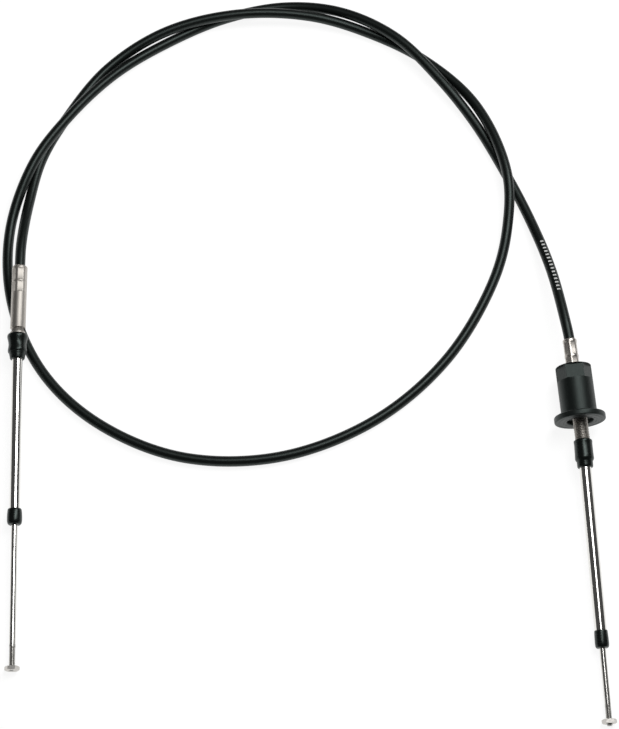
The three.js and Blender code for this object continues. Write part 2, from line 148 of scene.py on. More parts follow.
class Graph:
    """The node graph of one material, with a Principled surface at its end."""

    def __init__(self, name: str) -> None:
        """Starts an empty material.

        Args:
            name: The material's name.
        """
        self.material = bpy.data.materials.new(name)
        self.material.use_nodes = True
        self.tree = self.material.node_tree
        self.tree.nodes.clear()
        self.local = self.node("ShaderNodeAttribute", {"attribute_name": LOCAL}).outputs["Vector"]

    def node(
        self,
        kind: str,
        settings: Settings | None = None,
        inputs: dict[str | int, object] | None = None,
    ) -> bpy.types.Node:
        """Adds a node.

        Args:
            kind: The node's type.
            settings: What is set on the node itself.
            inputs: Values or links of its sockets, by name or place.

        Returns:
            The node.
        """
        made = self.tree.nodes.new(kind)
        for key, value in (settings or {}).items():
            setattr(made, key, value)
        for key, value in (inputs or {}).items():
            self.feed(made.inputs[key], value)
        return made

    def feed(self, socket: bpy.types.NodeSocket, value: object) -> None:
        """Links or sets one input.

        Args:
            socket: The input.
            value: A signal, an output socket, a number, a colour or a vector.
        """
        if isinstance(value, Signal):
            value = value.socket
        if isinstance(value, bpy.types.NodeSocket):
            self.tree.links.new(value, socket)
        elif socket.type == "RGBA" and len(value) == 3:
            socket.default_value = (*value, 1.0)
        else:
            socket.default_value = value

    def axes(self) -> tuple[Signal, Signal, Signal]:
        """The piece's own coordinates in millimetres, across, along and upright."""
        split = self.node("ShaderNodeSeparateXYZ", inputs={"Vector": self.local})
        return tuple(Signal(self, output) for output in split.outputs)

    def noise(self, stretch: Colour, detail: float = 3.0, rough: float = 0.55) -> Signal:
        """Noise on the piece's own coordinates.

        Args:
            stretch: Grains to the millimetre, on each axis.
            detail: Octaves.
            rough: Weight of the finer octaves.

        Returns:
            A number round 0.5.
        """
        scaled = self.node(
            "ShaderNodeVectorMath", {"operation": "MULTIPLY"}, {0: self.local, 1: stretch}
        )
        made = self.node(
            "ShaderNodeTexNoise",
            inputs={
                "Vector": scaled.outputs[0],
                "Scale": 1.0,
                "Detail": detail,
                "Roughness": rough,
            },
        )
        return Signal(self, made.outputs[0])

    def step(self, value: Signal, low: float, high: float) -> Signal:
        """Turns a number to 0 below low and 1 above high, smoothly in between.

        Args:
            value: The number.
            low: Where the result leaves 0.
            high: Where it reaches 1.

        Returns:
            The result.
        """
        made = self.node(
            "ShaderNodeMapRange",
            {"interpolation_type": "SMOOTHSTEP"},
            {"Value": value, "From Min": low, "From Max": high},
        )
        return Signal(self, made.outputs[0])

    def window(self, value: Signal, low: float, high: float, edge: float) -> Signal:
        """1 between two limits and 0 outside them.

        Args:
            value: The number.
            low: Lower limit.
            high: Upper limit.
            edge: Width of the soft edge at each limit.

        Returns:
            The mask.
        """
        return self.step(value, low, low + edge) - self.step(value, high - edge, high)

    def mix(self, factor: Signal, first: object, second: object) -> bpy.types.NodeSocket:
        """Mixes two colours.

        Args:
            factor: 0 for the first colour and 1 for the second.
            first: Colour or socket.
            second: Colour or socket.

        Returns:
            The mixed colour's socket.
        """
        made = self.node(
            "ShaderNodeMix", {"data_type": "RGBA"}, {0: factor, 6: first, 7: second}
        )
        return made.outputs[2]

    def bump(self, height: Signal, depth: float) -> bpy.types.NodeSocket:
        """A normal bent by a height.

        Args:
            height: The height, from 0 to 1.
            depth: What a height of 1 stands for, in millimetres.

        Returns:
            The normal's socket.
        """
        made = self.node("ShaderNodeBump", inputs={"Distance": depth * MM, "Height": height})
        return made.outputs["Normal"]

    def surface(self, inputs: dict[str | int, object]) -> None:
        """Ends the graph with a Principled surface.

        Args:
            inputs: Values or links of its sockets.
        """
        shader = self.node("ShaderNodeBsdfPrincipled", inputs=inputs)
        output = self.node("ShaderNodeOutputMaterial")
        self.tree.links.new(shader.outputs["BSDF"], output.inputs["Surface"])


@dataclass(frozen=True)
class Finish:
    """A finish, which makes its material once.

    Attributes:
        name: The material's name.
        slot: Name of its material slot; not used.
        colour: Main colour.
        roughness: Middle of its roughness.
    """

    name: str
    slot: str
    colour: Colour
    roughness: float

    def shade(self, share: float) -> Colour:
        """The main colour made lighter or darker by a share."""
        return tuple(share * part for part in self.colour)

    def dress(self, graph: Graph) -> None:
        """Builds the graph."""
        raise NotImplementedError

    def material(self) -> bpy.types.Material:
        """The material, made on first use."""
        made = bpy.data.materials.get(self.name)
        if made is None:
            graph = Graph(self.name)
            self.dress(graph)
            made = graph.material
        return made


@dataclass(frozen=True)
class Jacket(Finish):
    """Extruded plastic with faint die lines and a short row of plain length marks.

    Attributes:
        marks: Where the row of marks starts and ends along the cable, in millimetres.
        mark_pitch: Distance from one mark to the next.
    """

    marks: tuple[float, float] = (0.0, 0.0)
    mark_pitch: float = 3.3

    def dress(self, graph: Graph) -> None:
        """Builds the graph."""
        across, along, upright = graph.axes()
        mottle = graph.noise((0.35, 0.05, 0.35), detail=4)
        lines = graph.noise((2.6, 0.015, 2.6), detail=2)
        fine = graph.noise((7.0, 7.0, 7.0), detail=2)
        row = graph.window(along, *self.marks, edge=0.2)
        beat = graph.window(along % self.mark_pitch, 0.3, 1.75, edge=0.2)
        ink = row * beat * graph.window(across, -1.9, 0.9, edge=0.25)
        ink = ink * graph.step(upright, 0.0, 0.5) * graph.step(fine, 0.3, 0.42)
        body = graph.mix(mottle, self.shade(0.75), self.shade(1.3))
        graph.surface({
            "Base Color": graph.mix(ink, body, (0.92, 0.93, 0.91)),
            "Roughness": self.roughness - 0.06 + mottle * 0.12 + ink * 0.2,
            "Normal": graph.bump(lines * 0.6 + fine * 0.4, 0.008),
            **BLACK_SHINE,
        })


@dataclass(frozen=True)
class Steel(Finish):
    """Bare steel with fine marks one way, rougher between two heights, where its colour is also
    darkened in blotches as painted shade.

    Attributes:
        grain: Which way the marks run.
        depth: Depth of the marks, in millimetres.
        rougher_and_shaded: Where the rougher part with painted shade starts and ends, along the
            piece.
        dull_roughness: Roughness added there.
        painted_shade_share: Share of the colour that is left there, as painted shade.
    """

    grain: Grain = Grain.AROUND
    depth: float = 0.004
    rougher_and_shaded: tuple[float, float] = (-2.0, -1.0)
    dull_roughness: float = 0.2
    painted_shade_share: float = 0.55

    def dress(self, graph: Graph) -> None:
        """Builds the graph."""
        _, along, _ = graph.axes()
        marks = graph.noise(self.grain.value, detail=3)
        cloud = graph.noise((0.22, 0.09, 0.22), detail=4)
        spots = graph.step(graph.noise((1.1, 1.1, 1.1), detail=2), 0.52, 0.66)
        rougher_and_shaded = graph.window(along, *self.rougher_and_shaded, edge=0.3)
        clean = graph.mix(cloud, self.shade(0.9), self.shade(1.08))
        # Painted shade: the colour is darkened in blotches between the two heights.
        painted_shade_mask = rougher_and_shaded * (0.45 + spots * 0.55)
        graph.surface({
            "Base Color": graph.mix(painted_shade_mask, clean, self.shade(self.painted_shade_share)),
            "Metallic": 1.0,
            "Roughness": self.roughness - 0.04 + marks * 0.05 + cloud * 0.04
            + rougher_and_shaded * self.dull_roughness,
            "Normal": graph.bump(marks, self.depth),
        })


@dataclass(frozen=True)
class Rubber(Finish):
    """Moulded rubber with a parting line down both sides.

    Attributes:
        parting: Half the width of the parting line, in millimetres.
    """

    parting: float = 0.14

    def dress(self, graph: Graph) -> None:
        """Builds the graph."""
        _, _, upright = graph.axes()
        fine = graph.noise((5.0, 5.0, 5.0), detail=3)
        cloud = graph.noise((0.4, 0.4, 0.4), detail=3)
        line = 1.0 - graph.step(abs(upright), self.parting, 2.2 * self.parting)
        graph.surface({
            "Base Color": graph.mix(cloud, self.shade(0.7), self.shade(1.35)),
            "Roughness": self.roughness - 0.07 + cloud * 0.14 + line * 0.08,
            "Normal": graph.bump(fine * 0.18 + line * 0.6, 0.1),
            **BLACK_SHINE,
        })


@dataclass(frozen=True)
class Nylon(Finish):
    """Glass-filled moulded plastic with an even fine grain.

    Attributes:
        grain: Grains to the millimetre.
        depth: Depth of the grain, in millimetres.
    """

    grain: float = 2.4
    depth: float = 0.07

    def dress(self, graph: Graph) -> None:
        """Builds the graph."""
        grain = graph.noise((self.grain,) * 3, detail=4, rough=0.65)
        cloud = graph.noise((0.18, 0.12, 0.18), detail=3)
        specks = graph.step(graph.noise((3.4,) * 3, detail=1), 0.62, 0.74)
        body = graph.mix(cloud, self.shade(0.8), self.shade(1.25))
        graph.surface({
            "Base Color": graph.mix(specks * 0.5, body, self.shade(2.4)),
            "Roughness": self.roughness - 0.05 + grain * 0.1,
            "Normal": graph.bump(grain, self.depth),
            **BLACK_SHINE,
        })


@dataclass(frozen=True)
class Floor(Finish):
    """Pale sheet that glows a little, so that shadows stay faint.

    Attributes:
        glow: Strength of its own light.
    """

    glow: float = 0.9

    def dress(self, graph: Graph) -> None:
        """Builds the graph."""
        cloud = graph.noise((0.01, 0.01, 0.01), detail=2)
        graph.surface({
            "Base Color": graph.mix(cloud, self.shade(0.99), self.shade(1.0)),
            "Roughness": self.roughness,
            "Emission Color": (1.0, 1.0, 1.0),
            "Emission Strength": self.glow,
        })


# From 24 to 82 mm along the hub, over the barrel's thread, the steel is rougher and its colour
# darkened: painted shade of the thread.
SATIN_STEEL = Steel(
    "turned_satin_steel", "satin_steel", (0.56, 0.53, 0.49), 0.36, depth=0.001,
    rougher_and_shaded=(24.0, 82.0), dull_roughness=0.14, painted_shade_share=0.4,
)
# In the clamp groove the colour is darkened to less than a third, in blotches: painted shade of the
# groove.
GROOVED_STEEL = Steel(
    "turned_satin_steel_groove_shaded", "satin_steel", (0.56, 0.53, 0.49), 0.50, depth=0.002,
    rougher_and_shaded=(50.6, 53.6), painted_shade_share=0.3,
)
TUBE_STEEL = Steel(
    "polished_steel_tube", "polished_steel", (0.80, 0.79, 0.76), 0.09, Grain.ALONG, 0.0007
)
# Over the thread the steel is rougher and its colour halved: painted shade of the thread.
LEFT_ROD_STEEL = Steel(
    "polished_steel_left_rod", "polished_steel", (0.74, 0.73, 0.70), 0.20, Grain.ALONG, 0.0006,
    rougher_and_shaded=(238.0, 260.0), dull_roughness=0.16, painted_shade_share=0.5,
)
# Over the thread the steel is rougher and its colour halved: painted shade of the thread.
RIGHT_ROD_STEEL = Steel(
    "polished_steel_right_rod", "polished_steel", (0.74, 0.73, 0.70), 0.20, Grain.ALONG, 0.0006,
    rougher_and_shaded=(196.0, 215.0), dull_roughness=0.16, painted_shade_share=0.5,
)
NUT_STEEL = Steel("bright_plated_steel", "plated_steel", (0.62, 0.60, 0.57), 0.38, depth=0.002)
RUBBER = Rubber("moulded_rubber", "rubber", (0.0034, 0.0042, 0.0040), 0.29)
NYLON = Nylon("grained_nylon", "nylon", (0.0042, 0.0053, 0.0050), 0.44)
FLOOR = Floor("pale_floor", "", (0.26, 0.26, 0.26), 0.9)


class TurnedShape:
    """A bar turned about its +Y axis, in millimetres, with what is cut into it."""

    def __init__(self, profile: Profile, sides: int = 72, closed: bool = True) -> None:
        """Spins a profile.

        Args:
            profile: Radius and height of each corner, in order.
            sides: Faces around.
            closed: Whether the last corner joins the first.
        """
        self.mesh = bmesh.new()
        corners = [self.mesh.verts.new((radius, height, 0.0)) for radius, height in profile]
        pairs = list(zip(corners, corners[1:]))
        if closed:
            pairs.append((corners[-1], corners[0]))
        lines = [self.mesh.edges.new(pair) for pair in pairs]
        bmesh.ops.spin(
            self.mesh, geom=corners + lines, cent=(0, 0, 0), axis=(0, 1, 0),
            angle=2 * math.pi, steps=sides, use_merge=True,
        )
        bmesh.ops.remove_doubles(self.mesh, verts=self.mesh.verts, dist=1e-4)
        bmesh.ops.recalc_face_normals(self.mesh, faces=self.mesh.faces)

    def rounded(self, radius: float, angle: float = 28.0, segments: int = 3) -> TurnedShape:
        """Rounds the rings where the profile turns sharply.

        Args:
            radius: Size of the rounding.
            angle: Least turn that counts as sharp, in degrees.
            segments: Faces across the rounding.

        Returns:
            This shape.
        """
        sharp = [
            edge for edge in self.mesh.edges
            if len(edge.link_faces) == 2 and edge.calc_face_angle() > math.radians(angle)
        ]
        bmesh.ops.bevel(
            self.mesh, geom=sharp, offset=radius, offset_type="OFFSET", segments=segments,
            profile=0.5, affect="EDGES", clamp_overlap=True, material=-1,
        )
        return self

    def flattened(
        self, across_flats: float, start: float, end: float, inner: float, turn: float = 0.0
    ) -> TurnedShape:
        """Presses six flats into the outside, with one facing up unless they are turned.

        Args:
            across_flats: Distance between two flats.
            start: Height where the flats start.
            end: Height where they end.
            inner: Radius up to which nothing moves.
            turn: Angle by which the flats are turned, in degrees.

        Returns:
            This shape.
        """
        for vert in self.mesh.verts:
            radius = math.hypot(vert.co.x, vert.co.z)
            if start - ROUND_OFF < vert.co.y < end + ROUND_OFF and radius > inner:
                share = flat_radius(vert.co, across_flats, turn) / radius
                if share < 1:
                    vert.co.x *= share
                    vert.co.z *= share
        return self

    def threaded(self, thread: Thread) -> TurnedShape:
        """Adds a thread as a closed body of its own.

        Args:
            thread: The thread.

        Returns:
            This shape.
        """
        part = thread.shape()
        kept = bpy.data.meshes.new("thread")
        part.to_mesh(kept)
        part.free()
        self.mesh.from_mesh(kept)
        bpy.data.meshes.remove(kept)
        return self


def flat_radius(point: Vector, across_flats: float, turn: float) -> float:
    """Distance from the axis to a hexagon's side, in a point's direction.

    Args:
        point: The point, whose X and Z count.
        across_flats: Distance between two sides.
        turn: Angle by which the hexagon is turned, in degrees.

    Returns:
        The distance.
    """
    sixth = math.pi / 3
    off = (math.atan2(point.z, point.x) - math.radians(turn)) % sixth - sixth / 2
    return across_flats / 2 / math.cos(off)


@dataclass(frozen=True)
class Thread:
    """Right-handed screw thread round +Y.

    Attributes:
        major: Diameter over its crests.
        pitch: Distance from crest to crest.
        start: Height where it starts.
        end: Height where it ends.
        chamfer: Length of the pointed end.
        steps: Faces in a turn.
        bore: Radius of the hole through it, or 0.
    """

    major: float
    pitch: float
    start: float
    end: float
    chamfer: float = 0.0
    steps: int = 36
    bore: float = 0.0

    def shape(self) -> bmesh.types.BMesh:
        """Spins one tooth up the axis, joins its turns and closes both ends.

        Returns:
            The thread's mesh.
        """
        crest = self.major / 2
        root = crest - 0.61 * self.pitch
        tooth = ((root, 0.0), (root, 0.12), (crest, 0.44), (crest, 0.56), (root, 0.88), (root, 1.0))
        turns = math.ceil((self.end - self.start) / self.pitch) + 2
        made = bmesh.new()
        corners = [
            made.verts.new((radius, self.start - self.pitch + share * self.pitch, 0.0))
            for radius, share in tooth
        ]
        lines = [made.edges.new(pair) for pair in zip(corners, corners[1:])]
        bmesh.ops.spin(
            made, geom=corners + lines, cent=(0, 0, 0), axis=(0, 1, 0),
            dvec=(0, self.pitch / self.steps, 0), angle=2 * math.pi * turns,
            steps=self.steps * turns, use_merge=False,
        )
        bmesh.ops.remove_doubles(made, verts=made.verts, dist=0.01 * self.pitch)
        inner: list[bmesh.types.BMEdge] = []
        for height, way in ((self.start, -1), (self.end, 1)):
            cut = bmesh.ops.bisect_plane(
                made, geom=made.verts[:] + made.edges[:] + made.faces[:],
                plane_co=(0, height, 0), plane_no=(0, way, 0), clear_outer=True,
            )
            rim = [part for part in cut["geom_cut"] if isinstance(part, bmesh.types.BMEdge)]
            if self.bore:
                inner += self.bored(made, rim)
            else:
                bmesh.ops.edgeloop_fill(made, edges=rim)
        if inner:
            bmesh.ops.bridge_loops(made, edges=inner)
        bmesh.ops.recalc_face_normals(made, faces=made.faces)
        for vert in made.verts:
            past = vert.co.y - (self.end - self.chamfer)
            radius = math.hypot(vert.co.x, vert.co.z)
            if past > 0 and radius > crest - past:
                vert.co.x *= (crest - past) / radius
                vert.co.z *= (crest - past) / radius
        return made

    def bored(
        self, mesh: bmesh.types.BMesh, rim: list[bmesh.types.BMEdge]
    ) -> list[bmesh.types.BMEdge]:
        """Closes one end in to the hole's edge.

        Args:
            mesh: The thread's mesh.
            rim: Edges of its cut end.

        Returns:
            Edges of the hole at that end.
        """
        grown = bmesh.ops.extrude_edge_only(mesh, edges=rim)["geom"]
        for vert in (part for part in grown if isinstance(part, bmesh.types.BMVert)):
            radius = math.hypot(vert.co.x, vert.co.z)
            vert.co.x *= self.bore / radius
            vert.co.z *= self.bore / radius
        return [part for part in grown if isinstance(part, bmesh.types.BMEdge) and part.is_boundary]


@dataclass(frozen=True)
class Piece:
    """A piece's name, and what it stands for, rides on and is made of.

    Attributes:
        name: The piece's name.
        node: The solid that it stands for.
        body: The body that it rides on, or None where it rides on none.
        finish: Its finish.
        crease: Least angle between faces that shows as an edge, in degrees.
    """

    name: str
    node: str
    body: Body | None
    finish: Finish
    crease: float = 30.0

    def install(
        self, mesh: bmesh.types.BMesh, place: Callable[[Vector], Vector]
    ) -> bpy.types.Object:
        """Keeps each point's local place, moves it to the row frame and makes the object.

        Args:
            mesh: The piece in millimetres, which is used up.
            place: Turns a local point to one in the row frame, in metres.

        Returns:
            The object.
        """
        own = mesh.verts.layers.float_vector.new(LOCAL)
        for vert in mesh.verts:
            vert[own] = vert.co
            vert.co = place(vert.co)
        data = bpy.data.meshes.new(self.name)
        mesh.to_mesh(data)
        mesh.free()
        data.shade_smooth()
        data.set_sharp_from_angle(angle=math.radians(self.crease))
        data.materials.append(self.finish.material())
        made = bpy.data.objects.new(self.name, data)
        bpy.context.scene.collection.objects.link(made)
        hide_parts(self.node)
        if self.body:
            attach(made, self.body.value)
        LOG.info("%s: %d faces", self.name, len(data.polygons))
        return made


# The cable's middle line between its two hubs, in metres, as in the part's own source.
ROUTE = (
    (-0.2173, 0.1968, 0.0162), (-0.2143, 0.2353, 0.0072), (-0.2063, 0.2748, 0.0044),
    (-0.1888, 0.3108, 0.0044), (-0.1573, 0.3558, 0.0050), (-0.1118, 0.3863, 0.0106),
    (-0.0548, 0.4013, 0.0129), (0.0047, 0.4013, 0.0100), (0.0527, 0.3883, 0.0050),
    (0.0967, 0.3638, 0.0044), (0.1357, 0.3218, 0.0084), (0.1582, 0.2598, 0.0129),
    (0.1577, 0.2153, 0.0084), (0.1462, 0.1713, 0.0046), (0.1087, 0.1058, 0.0042),
    (0.0532, 0.0558, 0.0042), (-0.0183, 0.0268, 0.0042), (-0.0923, 0.0268, 0.0042),
    (-0.1558, 0.0543, 0.0042), (-0.1983, 0.0953, 0.0042), (-0.2238, 0.1518, 0.0042),
    (-0.2283, 0.2118, 0.0052), (-0.2123, 0.2658, 0.0129), (-0.1873, 0.3063, 0.0129),
    (-0.1518, 0.3488, 0.0078), (-0.1118, 0.3788, 0.0044), (-0.0643, 0.4023, 0.0042),
    (-0.0158, 0.4128, 0.0050), (0.0297, 0.4053, 0.0096), (0.0727, 0.3808, 0.0128),
    (0.1072, 0.3443, 0.0104), (0.1347, 0.3073, 0.0056), (0.1577, 0.2638, 0.0042),
    (0.1757, 0.2213, 0.0062), (0.1892, 0.1743, 0.0158), (0.1972, 0.1288, 0.0236),
)


@dataclass
class Route:
    """Smooth centripetal curve through points, measured along its length.

    Attributes:
        points: The points, in metres.
        steps: Short lengths between one point and the next.
        line: Points of the curve.
        reach: Distance along the curve at each of them, in millimetres.
    """

    points: Sequence[Vector]
    steps: int = 16
    line: list[Vector] = field(default_factory=list)
    reach: list[float] = field(default_factory=list)

    def __post_init__(self) -> None:
        """Works out the curve."""
        first = 2 * self.points[0] - self.points[1]
        last = 2 * self.points[-1] - self.points[-2]
        padded = [first, *self.points, last]
        for before, start, end, after in zip(padded, padded[1:], padded[2:], padded[3:]):
            leave, arrive = self.slopes(before, start, end, after)
            for step in range(self.steps):
                t = step / self.steps
                self.line.append(
                    start * (2 * t**3 - 3 * t**2 + 1) + leave * (t**3 - 2 * t**2 + t)
                    + end * (3 * t**2 - 2 * t**3) + arrive * (t**3 - t**2)
                )
        self.line.append(self.points[-1])
        self.reach.append(0.0)
        for start, end in zip(self.line, self.line[1:]):
            self.reach.append(self.reach[-1] + (end - start).length / MM)

    @staticmethod
    def slopes(before: Vector, start: Vector, end: Vector, after: Vector) -> tuple[Vector, Vector]:
        """The curve's slopes at two neighbouring points.

        Args:
            before: The point before them.
            start: The first.
            end: The second.
            after: The point after them.

        Returns:
            The slope at the start and at the end.
        """
        d0, d1, d2 = (
            math.sqrt((b - a).length) for a, b in ((before, start), (start, end), (end, after))
        )
        leave = ((start - before) / d0 - (end - before) / (d0 + d1) + (end - start) / d1) * d1
        arrive = ((end - start) / d1 - (after - start) / (d1 + d2) + (after - end) / d2) * d1
        return leave, arrive

    def nearest(self, x: float, y: float, since: float) -> float:
        """Distance along the curve of its point nearest to a place on the floor.

        Args:
            x: The place's X, in metres.
            y: The place's Y, in metres.
            since: Only what lies further along than this counts, in millimetres.

        Returns:
            The distance, in millimetres.
        """
        later = [pair for pair in zip(self.reach, self.line) if pair[0] > since]
        return min(later, key=lambda pair: math.hypot(pair[1].x - x, pair[1].y - y))[0]

    def index(self, distance: float) -> int:
        """Place in the line of the point at a distance along it, in millimetres."""
        return bisect_left(self.reach, distance - 0.01, hi=len(self.reach) - 1)

    def frame(self, index: int) -> Matrix:
        """Frame at a point of the curve, +Y along it and +Z as upright as it can be."""
        low, high = max(index - 1, 0), min(index + 1, len(self.line) - 1)
        along = (self.line[high] - self.line[low]).normalized()
        return upright_frame(self.line[index], along)


def upright_frame(origin: Vector, along: Vector) -> Matrix:
    """Frame of a local piece in millimetres, in the row frame in metres.

    Args:
        origin: Where its origin lies.
        along: Direction of its +Y.

    Returns:
        The matrix, which also scales millimetres to metres.
    """
    side = along.cross(Vector((0, 0, 1))).normalized()
    turn = Matrix((side, along, side.cross(along))).transposed().to_4x4()
    return Matrix.Translation(origin) @ turn @ Matrix.Scale(MM, 4)


@dataclass
class Conduit:
    """The black jacketed cable, one and a half turns lying loosely on the floor.

    Attributes:
        left: Frame of the left hub, whose origin is where the cable leaves it.
        right: Frame of the right hub.
        diameter: Over the jacket.
        insertion: Length inside each hub.
        sides: Faces around.
        mark_from: Place on the floor where the row of printed marks starts.
        mark_to: Place where it ends.
    """

    left: Matrix
    right: Matrix
    diameter: float = 8.0
    insertion: float = 25.0
    sides: int = 28
    mark_from: tuple[float, float] = (0.1821, 0.2005)
    mark_to: tuple[float, float] = (0.1938, 0.1525)

    def route(self) -> Route:
        """The cable's whole middle line, with what is inside the hubs."""
        inside = Vector((0, self.insertion, 0))
        return Route([
            self.left @ inside,
            self.left.translation.copy(),
            *[Vector(point) for point in ROUTE],
            self.right.translation.copy(),
            self.right @ inside,
        ])

    def straight(self, route: Route) -> bmesh.types.BMesh:
        """The cable as a straight bar of its length, with a ring for each point of its route.

        Args:
            route: The route.

        Returns:
            Its mesh, whose Y is the distance along the cable.
        """
        made = bmesh.new()
        rings = len(route.line) - 1
        bmesh.ops.create_grid(made, x_segments=self.sides, y_segments=rings, size=1.0)
        radius = self.diameter / 2
        for vert in made.verts:
            angle = (vert.co.x + 1) * math.pi
            index = round((vert.co.y + 1) / 2 * rings)
            vert.co = (
                radius * math.cos(angle), route.reach[index], radius * math.sin(angle)
            )
        bmesh.ops.remove_doubles(made, verts=made.verts, dist=1e-3)
        rims = [edge for edge in made.edges if edge.is_boundary]
        bmesh.ops.holes_fill(made, edges=rims, sides=0)
        bmesh.ops.recalc_face_normals(made, faces=made.faces)
        return made

    def build(self) -> None:
        route = self.route()
        middle = route.reach[-1] / 2
        marks = (
            route.nearest(*self.mark_from, since=middle),
            route.nearest(*self.mark_to, since=middle),
        )
        finish = Jacket("extruded_jacket", "jacket", (0.0030, 0.0038, 0.0035), 0.38, marks)

        def bent(point: Vector) -> Vector:
            """Moves a point of the straight bar onto the route."""
            return route.frame(route.index(point.y)) @ Vector((point.x, 0, point.z))

        piece = Piece("cable_jacket", "conduit", Body.CABLE, finish)
        made = piece.install(self.straight(route), bent)
        route.reach[-1] * MM
        self.diameter * MM


@dataclass
class EndFitting:
    """What the two ends share: a hub, and a tube in a rubber boot that guides a rod.

    Attributes:
        side: "left" or "right".
        exit_point: Middle of the hub's cable end, in metres.
        azimuth: Turn from -Y towards +X, in degrees.
        slope: Fall along the fitting, in degrees.
        swivel_rest: Turn of the tube against the hub as it lies, in degrees.
        hub_length: Length of the hub.
        boot: Profile of the boot, from the centre of the ball.
        boot_bend: Heights between which the boot is meant to bend; not used.
        tube_diameter: Over the tube.
        tube_length: From the centre of its ball.
        seal: Profile of the wiper seal.
        rod_start: Inner end of the rod.
        rod_tip: Free end of the rod.
        thread_start: Where the rod's thread starts.
        nut_end: Free face of the nut.
        rod_finish: Finish of the rod.
        swivel_body: Body of the tube.
        plunger_body: Body of the rod.
    """

    side: str
    exit_point: tuple[float, float, float]
    azimuth: float
    slope: float
    swivel_rest: float
    hub_length: float
    boot: Profile
    boot_bend: tuple[float, float]
    tube_diameter: float
    tube_length: float
    seal: Profile
    rod_start: float
    rod_tip: float
    thread_start: float
    nut_end: float
    rod_finish: Finish
    swivel_body: Body
    plunger_body: Body
    cable_mouth: float = 4.1
    pivot_depth: float = 1.6
    ball_diameter: float = 9.0
    ball_neck: float = 7.0
    ball_flat: float = 2.8
    rod_diameter: float = 4.76
    rod_pitch: float = 0.794
    nut_across_flats: float = 9.53
    nut_thickness: float = 3.2

    def hub_frame(self) -> Matrix:
        """Frame of the hub."""
        turn, fall = math.radians(self.azimuth), math.radians(self.slope)
        along = Vector((
            math.sin(turn) * math.cos(fall), -math.cos(turn) * math.cos(fall), -math.sin(fall),
        ))
        return upright_frame(Vector(self.exit_point), along)

    def swivel_frame(self) -> Matrix:
        """Frame of what swings with the tube, about the centre of its ball."""
        shift = Matrix.Translation((0, self.hub_length - self.pivot_depth, 0))
        turn = Matrix.Rotation(math.radians(self.swivel_rest), 4, "Z")
        return self.hub_frame() @ shift @ turn

    def named(self, thing: str, looks: str) -> tuple[str, str]:
        """The name of one of this end's pieces, and of the solid that it stands for."""
        return f"{self.side}_{thing}_{looks}", f"{self.side}_{thing}"

    def on_hub(self, mesh: bmesh.types.BMesh, piece: Piece) -> bpy.types.Object:
        """Installs a piece that belongs to the hub."""
        frame = self.hub_frame()
        return piece.install(mesh, lambda point: frame @ point)

    def on_swivel(self, mesh: bmesh.types.BMesh, piece: Piece) -> bpy.types.Object:
        """Installs a piece that swings with the tube."""
        frame = self.swivel_frame()
        return piece.install(mesh, lambda point: frame @ point)

    def build_hub(self) -> None:
        """Makes the hub and what is fixed on it."""
        raise NotImplementedError

    def build_boot(self) -> None:
        """Makes the rubber boot between the hub and the tube."""
        shape = TurnedShape(self.boot, sides=64).rounded(0.22, angle=32)
        made = self.on_swivel(
            shape.mesh, Piece(*self.named("boot", "moulded"), None, RUBBER, crease=50)
        )
        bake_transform(made)

    def build_tube(self) -> None:
        """Makes the tube with its hollow ball."""
        ball, neck, outer = self.ball_diameter / 2, self.ball_neck / 2, self.tube_diameter / 2
        bore = self.rod_diameter / 2 + 0.12
        flat = math.acos(self.ball_flat / ball)
        waist = math.asin(neck / ball)
        turns = [math.pi - flat + (waist + flat - math.pi) * share / 10 for share in range(11)]
        dome = [(ball * math.sin(turn), ball * math.cos(turn)) for turn in turns]
        shape = TurnedShape((
            (bore, -self.ball_flat),
            *dome,
            (outer, dome[-1][1] + (outer - neck) + 0.3),
            (outer, self.tube_length - 0.3),
            (outer - 0.3, self.tube_length),
            (bore, self.tube_length),
        ))
        self.on_swivel(
            shape.mesh, Piece(*self.named("tube", "polished"), self.swivel_body, TUBE_STEEL)
        )

    def build_seal(self) -> None:
        """Makes the wiper seal on the tube's free end."""
        shape = TurnedShape(self.seal, sides=64).rounded(0.25, angle=32)
        self.on_swivel(
            shape.mesh, Piece(*self.named("seal", "moulded"), self.swivel_body, RUBBER, crease=50)
        )

    def build_rod(self) -> None:
        """Makes the rod with its threaded tip."""
        radius = self.rod_diameter / 2
        shape = TurnedShape((
            (0.0, self.rod_start),
            (radius - 0.4, self.rod_start),
            (radius, self.rod_start + 0.4),
            (radius, self.thread_start - 0.1),
            (radius - 0.45, self.thread_start),
            (0.0, self.thread_start),
        ), closed=False)
        shape.threaded(Thread(
            self.rod_diameter - 0.08, self.rod_pitch, self.thread_start - 0.4, self.rod_tip, 0.7,
        ))
        self.on_swivel(
            shape.mesh,
            Piece(*self.named("rod", "threaded"), self.plunger_body, self.rod_finish, crease=40),
        )

    def build_nut(self) -> None:
        """Makes the nut, chamfered on both faces and round its thread."""
        end, start = self.nut_end, self.nut_end - self.nut_thickness
        bore, face = self.rod_diameter / 2 + 0.04, self.nut_across_flats / 2 * 0.95
        corner = self.nut_across_flats / math.sqrt(3)
        shape = TurnedShape((
            (bore, start + 0.35), (bore + 0.35, start), (face, start),
            (corner, start), (corner, end),
            (face, end), (bore + 0.35, end), (bore, end - 0.35),
        ), sides=96)
        shape.flattened(self.nut_across_flats, start, end, inner=face + 0.1)
        for vert in shape.mesh.verts:
            over = math.hypot(vert.co.x, vert.co.z) - face
            if over > 0.05:
                fall = over * math.tan(math.radians(30))
                vert.co.y += fall if vert.co.y < (start + end) / 2 else -fall
        self.on_swivel(
            shape.mesh,
            Piece(*self.named("nut", "hexagon"), self.plunger_body, NUT_STEEL, crease=20),
        )

    def build(self) -> None:
        """Makes all of this end."""
        self.build_hub()
        self.build_boot()
        self.build_tube()
        self.build_seal()
        self.build_rod()
        self.build_nut()


